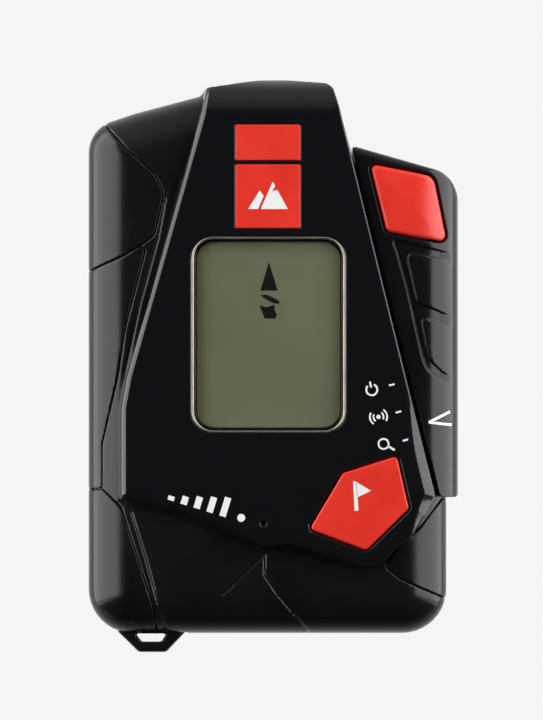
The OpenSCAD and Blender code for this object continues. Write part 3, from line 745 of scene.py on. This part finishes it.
def rear_cover():
    """The rear half of the housing, with the cell's trough, the screw posts and grip ribs."""
    h = grid_step(0.42)
    deep = joined(steps(-5.2, 3.6, 0.8), steps(3.6, 4.6, 0.25), steps(4.6, 6.4, 0.9),
                  steps(6.4, 14.6, 0.38))
    g = Field(steps(-36.6, 36.4, h), deep, steps(-0.8, 110.8, h))
    outer = rolled(g.outline(BODY), BACK - g.y, 6, 5.6)
    lean = track_frame(g)[0]
    floor = high(g.outline(box_outline(-30.8, 5.8, 30.8, 34.2, 2)), -(g.y - 9.8))
    tube = np.sqrt((g.y - 4.4) ** 2 + (g.z - 17.5) ** 2)
    trough_in, trough_out = (high(low(tube - r, high(np.abs(g.z - 17.5) - r, 4.4 - g.y)),
                                  np.abs(g.x + 0.3) - half)
                             for r, half in ((7.5, 27.7), (8.5, 28.7)))
    kept = low(floor, trough_out)
    kept = low(kept, high(g.post(DOOR_SCREW, 4.0), -(g.y - 4.5)))
    for at in SCREWS:
        kept = low(kept, high(g.post(at, 3.2), -(g.y - SPLIT)))
    hollow = cut(high(high(outer, lean) + 2.4, g.y - 11.6), kept)
    f = high(outer, -(g.y - SPLIT), 0.3)
    f = low(f, high(high(trough_out, -(g.y + 4.6)), g.y - 5))
    f = cut(f, hollow)
    f = cut(f, trough_in)
    f = cut(f, high(g.outline(box_outline(-30.3, 6.5, 30.3, 33.5, 4)), -(g.y - 11.8)), 0.25)
    f = cut(f, high(g.post(DOOR_SCREW, 5.3), -(g.y - 10.6)))
    f = cut(f, high(g.post(DOOR_SCREW, 2.45), -(g.y - 5.0)))
    for at in SCREWS:
        f = cut(f, g.post(at, 1.45))
        f = cut(f, high(g.post(at, 2.9), -(g.y - 12.1)), 0.25)
    for x in (-1, 1):
        for k in range(7):
            rib = box_outline(x * 24 - 5.5, 47 + 6 * k, x * 24 + 5.5, 49.2 + 6 * k, 1.0)
            f = cut(f, high(g.outline(rib), -(g.y - 13.45)), 0.4)
    piece("rear_shell", g, f, REAR, "housing", "cover_plastic", "rear_cover")


def battery_door():
    """The door over the cell, with the captive screw's pocket and finger ribs."""
    h = grid_step(0.32)
    deep = joined(steps(10.4, 12.1, 0.4), steps(12.1, 14.5, 0.22))
    g = Field(steps(-30.8, 30.8, h), deep, steps(6, 34, h))
    f = high(high(g.outline(box_outline(-30, 6.8, 30, 33.2, 3.7)), g.y - BACK, 0.5), 12.35 - g.y)
    f = low(f, high(high(g.post(DOOR_SCREW, 5.0), 10.9 - g.y), g.y - 13))
    f = cut(f, g.post(DOOR_SCREW, 1.7))
    f = cut(f, high(g.post(DOOR_SCREW, 4.5), 12.2 - g.y), 0.3)
    for k in range(4):
        rib = box_outline(-9, 9.6 + 2.2 * k, 9, 10.5 + 2.2 * k, 0.45)
        f = cut(f, high(g.outline(rib), -(g.y - 13.5)), 0.3)
    piece("door_shell", g, f, REAR, "battery_door", "cover_plastic", "battery_door")


def front_panel():
    """The glossy panel, open for the display, the badge, the light strip and the flag button."""
    h = grid_step(0.25)
    g = Field(steps(-30.2, 34.6, h), joined(steps(-14.6, -13.2, 0.16), steps(-13.2, -5.2, 0.3)),
              steps(12.4, 110.6, h))
    wall = (g.outline(FLANKS) + 0.1 * (FACE - g.y)) / 1.005
    f = high(bevelled_face(g), dome_roll(g), 0.3)
    f = high(f, wall, 1.2 - 0.95 * ease(-5, 5, g.x))
    rim = low(g.outline(PANEL), beside_slider(g))
    f = high(high(f, rim), g.y - panel_back(g) - 0.6 * ease(-1.2, -0.8, rim) + 0.05)
    f = cut(f, high(g.outline(WINDOW_SEAT), g.y + 12.4), 0.15)
    f = cut(f, g.outline(WINDOW_HOLE))
    f = cut(f, g.outline(FLAG) - 0.42, 0.3)
    f = cut(f, high(g.outline(FLAG) - 1.5, -(g.y + 12.1)))
    f = cut(f, high(g.outline(BADGE_SEAT), g.y + 13.15), 0.1)
    f = cut(f, high(g.outline(STRIP_SEAT), g.y + 12.75), 0.1)
    f = cut(f, g.outline(STEM_HOLE))
    f = cut(f, g.post(BEEP_HOLE, 0.55), 0.2)
    piece("panel_shell", g, f, GLOSS, "housing", "panel_plastic", "front_panel")


def frame_and_badge():
    """The display's pale frame line, the badge and the light strip, let into the panel."""
    g = Field(steps(-15.9, 16.1, 0.16), steps(-14.3, -12.2, 0.2), steps(39.3, 79.7, 0.16))
    f = high(g.outline(LINE_OUTER), -g.outline(LINE_INNER))
    f = high(high(f, -14.04 - g.y, 0.12), g.y + 12.45)
    piece("window_line", g, f, PALE, "housing", "pale_line", "window_frame")
    g = Field(steps(-6.9, 6.9, 0.16), steps(-14.3, -12.9, 0.14), steps(80.2, 93.9, 0.16))
    f = high(high(g.outline(BADGE), -14.03 - g.y, 0.2), g.y + 13.2)
    piece("badge_plate", g, f, RED, "housing", "red_plastic", "front_badge")
    g = Field(steps(-6.9, 6.9, 0.16), joined(steps(-14.3, -12.6, 0.14), steps(-12.6, -7.3, 0.9)),
              steps(93.7, 101.8, 0.16))
    f = high(high(g.outline(STRIP), -14.03 - g.y, 0.2), g.y + 12.8)
    f = low(f, high(high(g.outline(STEM), -13.5 - g.y), g.y + 7.6))
    piece("light_strip", g, f, RED_CLEAR, "housing", "red_clear", "light_guide")


def leash_loop():
    """The loop at the lower left corner, with the eye for the leash."""
    g = Field(steps(-30.6, -15.8, 0.2), steps(-4.7, 3.9, 0.25), steps(-4.4, 4.6, 0.2))
    bar = [(-30, 0.3, 1), (-25.8, -3.8, 0.9), (-20.3, -3.8, 0.9), (-16.4, 0.3, 1), (-16.4, 4, 0.3),
           (-30, 4, 0.3)]
    eye = [(-25.2, -1.75, 0.5), (-21.3, -1.75, 0.5), (-20.3, -0.1, 0.3), (-26.5, -0.1, 0.3)]
    deep = np.abs(g.y + 0.4) - 3.8
    f = high(high(g.outline(bar), deep, 1.3), -g.outline(eye), 0.6)
    piece("loop_form", g, f, COVER, "housing", "cover_plastic", "leash_loop")


# ---------------- slider and buttons

def slider_form(g):
    """The slider's outer form, with its side and its shoulder rolled over."""
    shoulder = g.outline([(-60, -60, 0), (SLIDER_SIDE, -60, 0), (SLIDER_SIDE, 91.2, 7),
                          (-60, 119.4, 0)])
    depth = g.y - SLIDER_FACE
    side = rolled(g.x - SLIDER_SIDE, depth, SLIDER_ROLL, SLIDER_ROLL)
    return high(high(side, rolled(shoulder, depth, 2.2, 2.6), 0.8), g.outline(SLIDER), 0.25)


# The sunk step of the slider around its lower half, and the two finger pads that stand in it
STEP = [(24.6, 78.6, 1), (25.6, 76.2, 4), (27.6, 69.1, 9), (29.2, 61.8, 9), (30.7, 55.2, 4),
        (31.7, 52.6, 3), (35.0, 50.4, 3), (46, 47.6, 0), (46, 73.2, 0)]
PADS = [[(27.2, 76.3, 1.4), (29.6, 66.0, 1.2), (36.5, 63.1, 3), (46, 59.6, 0), (46, 72.0, 0)],
        [(30.2, 63.3, 0.9), (31.4, 57.4, 8), (32.4, 54.2, 4), (35.2, 51.6, 4), (46, 48.6, 0),
         (46, 57.6, 0)]]


def mode_slider():
    """The slider's hollow shell, with its step, its pads and the lock button's recess."""
    h = grid_step(0.22)
    g = Field(steps(15.6, 38.9, h), joined(steps(-13.4, -3.0, h), steps(-3.0, 4.0, 0.8)),
              steps(26.4, 98, h))
    form = slider_form(g)
    f = high(form, g.y - (SPLIT - 0.3), 0.3)
    f = cut(f, seat(g, 0.3, 5.8))
    pads = low(g.outline(PADS[0]), g.outline(PADS[1]))
    sunk = high(g.outline(STEP), -pads, 0.3)
    f = cut(f, high(sunk, -(form + 0.5 - 1.05 * np.clip((g.x - 34.2) / 3.4, 0, 1))), 0.45)
    f = cut(f, high(g.outline(LOCK) - 0.42, -(form + 0.3)), 0.4)
    f = cut(f, high(g.outline(LOCK) - 0.25, g.y + 7), 0.25)
    hollow = high(g.outline(SLIDER_SPACE), np.abs(g.y + 4.45) - 6.15)
    hollow = high(hollow, rolled(g.x - 35.4, g.y + 10.6, 7, 7))
    post = low(high(g.post(LOCK_AT, 2.2), -(g.y + 2.6)), high(g.post(LOCK_AT, 1.1), -(g.y + 6.2)))
    f = cut(f, cut(hollow, post))
    piece("slider_shell", g, f, SLIDER_PLASTIC, "slider", "slider_plastic", "mode_slider")


def lock_button():
    """The red lock button in the slider, with the flange that keeps it in."""
    h = grid_step(0.16)
    g = Field(steps(19.6, 36.6, h), steps(-13.9, -9.0, h), steps(77, 94.4, h))
    edge = g.outline(LOCK)
    crown = 0.35 * np.clip(-edge / 5, 0, 1) ** 0.7
    face = rolled(g.x - 38.4, g.y + 13.0 + crown, 9.3, 9.3)
    f = high(high(edge, face, 0.8), g.y + 9.3, 0.15)
    flange = high(high(edge - 0.7, np.abs(g.y + 9.78) - 0.46),
                  rolled(g.x - 35, g.y + 10.3, 7, 7))
    f = low(f, high(flange, g.outline(LOCK_SPACE)))
    piece("lock_cap", g, f, RED, "lock_button", "red_plastic", "lock_button")


def flag_button():
    """The red five-sided button, with its flange and the post that presses the switch."""
    h = grid_step(0.17)
    g = Field(steps(6.6, 29.4, h), joined(steps(-14.7, -13.1, 0.14), steps(-13.1, -10.0, 0.3),
                                          steps(-10.0, -8.0, 0.4)), steps(15, 37.2, h))
    edge = g.outline(FLAG)
    f = high(high(edge, -14.15 - g.y, 0.45), g.y + 10.3)
    f = low(f, high(edge - 1.1, np.abs(g.y + 10.75) - 0.44))
    f = low(f, high(high(g.post(FLAG_AT, 2.4), g.y + 8.3), -11 - g.y))
    piece("flag_cap", g, f, RED, "flag_button", "red_plastic", "flag_button")


def lock_coil():
    """The lock button's return spring, drawn at one length, though the real one shortens as the
    button is pressed.
    """
    turns, around, radius, wire, foot, tall = 6, 26, 1.75, 0.24, -2.65, 6.58
    verts, faces, ring = [], [], 10
    count = turns * around + 1
    for i in range(count):
        w = 2 * math.pi * i / around
        depth = foot - wire - (tall - 2 * wire) * i / (count - 1)
        for k in range(ring):
            a = 2 * math.pi * k / ring
            r = radius + wire * math.cos(a)
            verts.append((LOCK_AT[0] + r * math.cos(w), depth + wire * math.sin(a),
                          LOCK_AT[1] + r * math.sin(w)))
    for i in range(count - 1):
        for k in range(ring):
            n = (k + 1) % ring
            faces.append([i * ring + k, (i + 1) * ring + k, (i + 1) * ring + n, i * ring + n])
    faces += [list(range(ring)), list(range((count - 1) * ring, count * ring))[::-1]]
    ob = mesh_object("lock_coil", verts, faces)
    finish(ob, SPRING, "slider", "spring_steel", "lock_spring")
    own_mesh(ob)


def pad_ring():
    """The silicone pad behind the flag button, drawn at one thickness, though the real one
    flattens as the button is pressed.
    """
    g = Field(steps(7, 29.5, 0.25), steps(-10.5, -9.1, 0.14), steps(16, 36.5, 0.25))
    f = high(g.outline(FLAG) + 1.25, -g.post(FLAG_AT, 2.75))
    f = high(f, np.abs(g.y + 9.76) - 0.5, 0.2)
    ob = piece("pad_ring", g, f, CARRIED["flag_pad"], "housing", "silicone", "flag_pad")
    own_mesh(ob)


# ---------------- printed marks

def stroke(points, width):
    """A band of the given width along a line, as x, z corners."""
    p = np.array(points, float)
    left, right = [], []
    for i in range(len(p)):
        d = p[min(i + 1, len(p) - 1)] - p[max(i - 1, 0)]
        n = np.array([-d[1], d[0]]) / np.linalg.norm(d)
        left.append(p[i] + n * width / 2)
        right.append(p[i] - n * width / 2)
    return left + right[::-1]


def arc(at, r, a0, a1, n=16):
    """Points along an arc, from a0 to a1 degrees."""
    turn = np.radians(np.linspace(a0, a1, n))
    return [(at[0] + r * math.cos(w), at[1] + r * math.sin(w)) for w in turn]


def turned(shapes, at, degrees, size=1.0):
    """Shapes scaled, turned and moved to their place."""
    w = math.radians(degrees)
    c, s = math.cos(w) * size, math.sin(w) * size
    return [[(at[0] + x * c - z * s, at[1] + x * s + z * c) for x, z in shape]
            for shape in shapes]


def ink(name, shapes, face, thick, body="housing", material=WHITE_INK, slot="pale_line"):
    """Flat printed shapes, as thin closed solids standing on the surface face(x, z)."""
    verts, faces = [], []
    for shape in shapes:
        n, start = len(shape), len(verts)
        verts += [(x, face(x, z) - thick, z) for x, z in shape]
        verts += [(x, face(x, z) + 0.02, z) for x, z in shape]
        faces.append([start + i for i in range(n)])
        faces.append([start + n + i for i in range(n)][::-1])
        faces += [[start + i, start + n + i, start + n + (i + 1) % n, start + (i + 1) % n]
                  for i in range(n)]
    finish(mesh_object(name, verts, faces, smooth=False), material, body, slot)


def flat(y):
    """A surface at one depth."""
    return lambda x, z: y


def band_pieces(points, width, parts=1):
    """Quads of a stroke, so that it can follow a curved surface."""
    p = np.array(points, float)
    fine = np.concatenate([np.linspace(a, b, parts, endpoint=False) for a, b in zip(p[:-1], p[1:])]
                          + [p[-1:]])
    outline = stroke(fine, width)
    n = len(fine)
    return [[outline[i], outline[i + 1], outline[2 * n - 2 - i], outline[2 * n - 1 - i]]
            for i in range(n - 1)]


def slider_face(x, z):
    """Depth of the slider's rolled side at x."""
    over = max(0.0, x - (SLIDER_SIDE - SLIDER_ROLL))
    return SLIDER_FACE + SLIDER_ROLL - math.sqrt(max(0.0, SLIDER_ROLL ** 2 - over * over))


def marks():
    """The printed marks, which are plain pictograms, and the display's picture."""
    peaks = [[(-4.6, -2.9), (-1.9, 1.4), (-1.0, 0.1), (-2.3, -2.9)],
             [(-1.7, -2.9), (1.1, 3.4), (1.7, 2.4), (0.9, 1.2), (2.2, 1.5), (4.6, -2.9)]]
    ink("badge_peaks", turned(peaks, (0, 87.0), 0, 0.86), flat(-14.03), 0.06)
    flag = [[(16.9, 30.4), (17.6, 30.3), (18.0, 24.6), (17.2, 24.5)],
            [(17.5, 30.3), (20.5, 28.5), (17.75, 27.2)]]
    ink("flag_mark", flag, flat(-14.15), 0.04, "flag_button")
    power = band_pieces(arc((0, 0), 1.25, 125, 415, 22), 0.42) + [
        [(-0.21, 0.5), (0.21, 0.5), (0.21, 1.9), (-0.21, 1.9)]]
    waves = [arc((0, 0), 0.5, 0, 345, 14)]
    for r in (1.15, 1.95):
        for mid in (0, 180):
            waves += band_pieces(arc((0, 0), r, mid - 42, mid + 42, 9), 0.38)
    glass = band_pieces(arc((-0.35, 0.35), 1.15, 0, 360, 20), 0.4) + [
        [(0.35, -0.55), (0.7, -0.2), (1.95, -1.45), (1.6, -1.8)]]
    for name, shapes, z in (("mark_power", power, 48.6), ("mark_waves", waves, 43.2),
                            ("mark_search", glass, 37.6)):
        x = track_x(z) - 7.9
        tick = [[(4.0, -0.2), (5.3, -0.2), (5.3, 0.2), (4.0, 0.2)]]
        ink(name, turned(shapes + tick, (x, z), TRACK_DEGREES, 0.88), flat(FRONT), 0.04)
    bars = [[(-8.2 + 2.7 * k, -1.9), (-6.9 + 2.7 * k, -1.9), (-6.9 + 2.7 * k, -1.0 + 0.75 * k),
             (-8.2 + 2.7 * k, -1.0 + 0.75 * k)] for k in range(5)]
    dots = [arc((6.9, -1.1), 0.8, 0, 342, 16)]
    ink("signal_bars", turned(bars + dots, (-11.6, 26.2), -17), flat(FRONT), 0.04)
    pointer = (band_pieces([(36.6, 41.6), (32.0, 42.1)], 0.5, 8)
               + band_pieces([(32.0, 42.1), (36.2, 44.2)], 0.5, 8))
    ink("slider_pointer", pointer, slider_face, 0.05, "slider")
    arrow = [[(0.2, 74), (-1.5, 68.3), (1.9, 68.3)],
             [(-1.6, 67.4), (-0.2, 67.5), (1.1, 66.9), (2.3, 66.2), (2.2, 65.6), (0.8, 65.9),
              (-0.6, 66.7)],
             [(-1.8, 65.4), (-0.3, 65.0), (1.3, 65.5), (1.3, 64.5), (1.8, 63.5), (1.4, 62.7),
              (-0.7, 62.8), (-1.1, 64.0)]]
    ink("display_arrow", arrow, flat(-12.36), 0.03, material=BLACK_INK, slot="display_film")


front_cover()
for skin, (node, zone) in SKINS.items():
    skin_piece(skin, node, zone)
rear_cover()
battery_door()
front_panel()
frame_and_badge()
leash_loop()
mode_slider()
lock_button()
flag_button()
lock_coil()
pad_ring()
marks()


# ---------------- stage, light and camera

def emptied(owner, output):
    """The emptied node tree of a material or a world, and the surface of its new output."""
    owner.use_nodes = True
    tree = owner.node_tree
    tree.nodes.clear()
    return tree, tree.nodes.new(output).inputs["Surface"]


def plain(tree, kind, colour):
    """The output of a one-colour shader. colour is a grey or a socket."""
    node = tree.nodes.new(kind)
    if not isinstance(colour, bpy.types.NodeSocket):
        colour = (colour, colour, colour, 1)
    feed(colour, node.inputs["Color"])
    return node.outputs[0]


def two_looks(tree, seen, felt):
    """A shader that the camera sees as one and the part feels as another."""
    path = tree.nodes.new("ShaderNodeLightPath")
    return blended(tree, path.outputs["Is Camera Ray"], felt, seen)


# Brightness of the backdrop, and the floor's radius and height in mm
PAPER, FLOOR_RADIUS, FLOOR_HEIGHT, FLOOR_SIDES = 0.914, 900, -60.0, 64


def pale_floor():
    """A pale floor that lets the studio's light through from below."""
    disc = [(FLOOR_RADIUS * math.cos(w), FLOOR_RADIUS * math.sin(w), FLOOR_HEIGHT)
            for w in np.linspace(0, 2 * math.pi, FLOOR_SIDES, endpoint=False)]
    floor = mesh_object("pale_floor", disc, [list(range(FLOOR_SIDES))], smooth=False)
    mat = bpy.data.materials.new("pale_floor_look")
    t, surface = emptied(mat, "ShaderNodeOutputMaterial")
    feed(two_looks(t, plain(t, "ShaderNodeEmission", PAPER),
                   plain(t, "ShaderNodeBsdfTransparent", 1.0)), surface)
    floor.data.materials.append(mat)


def studio():
    """A studio that is dark in front and pale behind and above."""
    world = bpy.data.worlds.new("studio")
    bpy.context.scene.world = world
    t, surface = emptied(world, "ShaderNodeOutputWorld")
    way = t.nodes.new("ShaderNodeSeparateXYZ")
    feed(t.nodes.new("ShaderNodeTexCoord").outputs["Generated"], way.inputs["Vector"])
    brighter = t.nodes.new("ShaderNodeMath")
    brighter.operation = "ADD"
    # How far behind, and how far up, a direction points, and the brightness that it adds
    for total, axis, span in ((0, "Y", (-0.1, 0.9, 0.012, 0.85)), (1, "Z", (0.35, 1.05, 0, 0.5))):
        part = t.nodes.new("ShaderNodeMapRange")
        part.interpolation_type = "SMOOTHSTEP"
        for key, value in zip(("From Min", "From Max", "To Min", "To Max"), span):
            feed(value, part.inputs[key])
        feed(way.outputs[axis], part.inputs["Value"])
        feed(part.outputs["Result"], brighter.inputs[total])
    feed(two_looks(t, plain(t, "ShaderNodeBackground", PAPER),
                   plain(t, "ShaderNodeBackground", brighter.outputs[0])), surface)


def softbox(name, at, size, radiance, aim):
    """A rectangular light of the given width, height and brightness."""
    light = bpy.data.lights.new(name, "AREA")
    light.shape = "RECTANGLE"
    light.size, light.size_y = size
    light.energy = radiance * math.pi * size[0] * size[1]
    ob = placed(name, light)
    ob.location = at
    ob.rotation_euler = Vector(np.array(aim) - np.array(at)).to_track_quat("-Z", "Y").to_euler()


def lights():
    """Two tall boxes at the sides and a weak one behind."""
    softbox("left_box", (-0.75, -0.26, 0.45), (1.22, 1.6), 4.2, (0, -0.26, 0.45))
    softbox("right_box", (0.75, -0.26, 0.45), (1.22, 1.6), 4.1, (0, -0.26, 0.45))
    softbox("back_fill", (0.3, 1.2, 0.5), (0.8, 0.8), 1.5, (0, 0, 0))


# The camera's sensor in mm. In metres: its distance from the panel, the height that it sees
# there, and where it looks, as x and z from the housing's bottom edge
SENSOR, AWAY, SEEN_HEIGHT, LOOKS_AT = 36.0, 2.5, 0.1431, (0.0007, 0.0545)


def camera():
    """A level camera, far in front of the part."""
    cam = bpy.data.cameras.new("camera")
    cam.lens = SENSOR * AWAY / SEEN_HEIGHT
    cam.sensor_width = SENSOR
    cam.clip_start, cam.clip_end = 0.05, 30.0
    ob = placed("camera", cam)
    ob.location = (LOOKS_AT[0], (FRONT - BACK) / 1000 - AWAY, LOOKS_AT[1] - HALF / 1000)
    ob.rotation_euler = (math.radians(90), 0, 0)
    bpy.context.scene.camera = ob


pale_floor()
studio()
lights()
camera()
bpy.context.scene.view_settings.view_transform = "Standard"
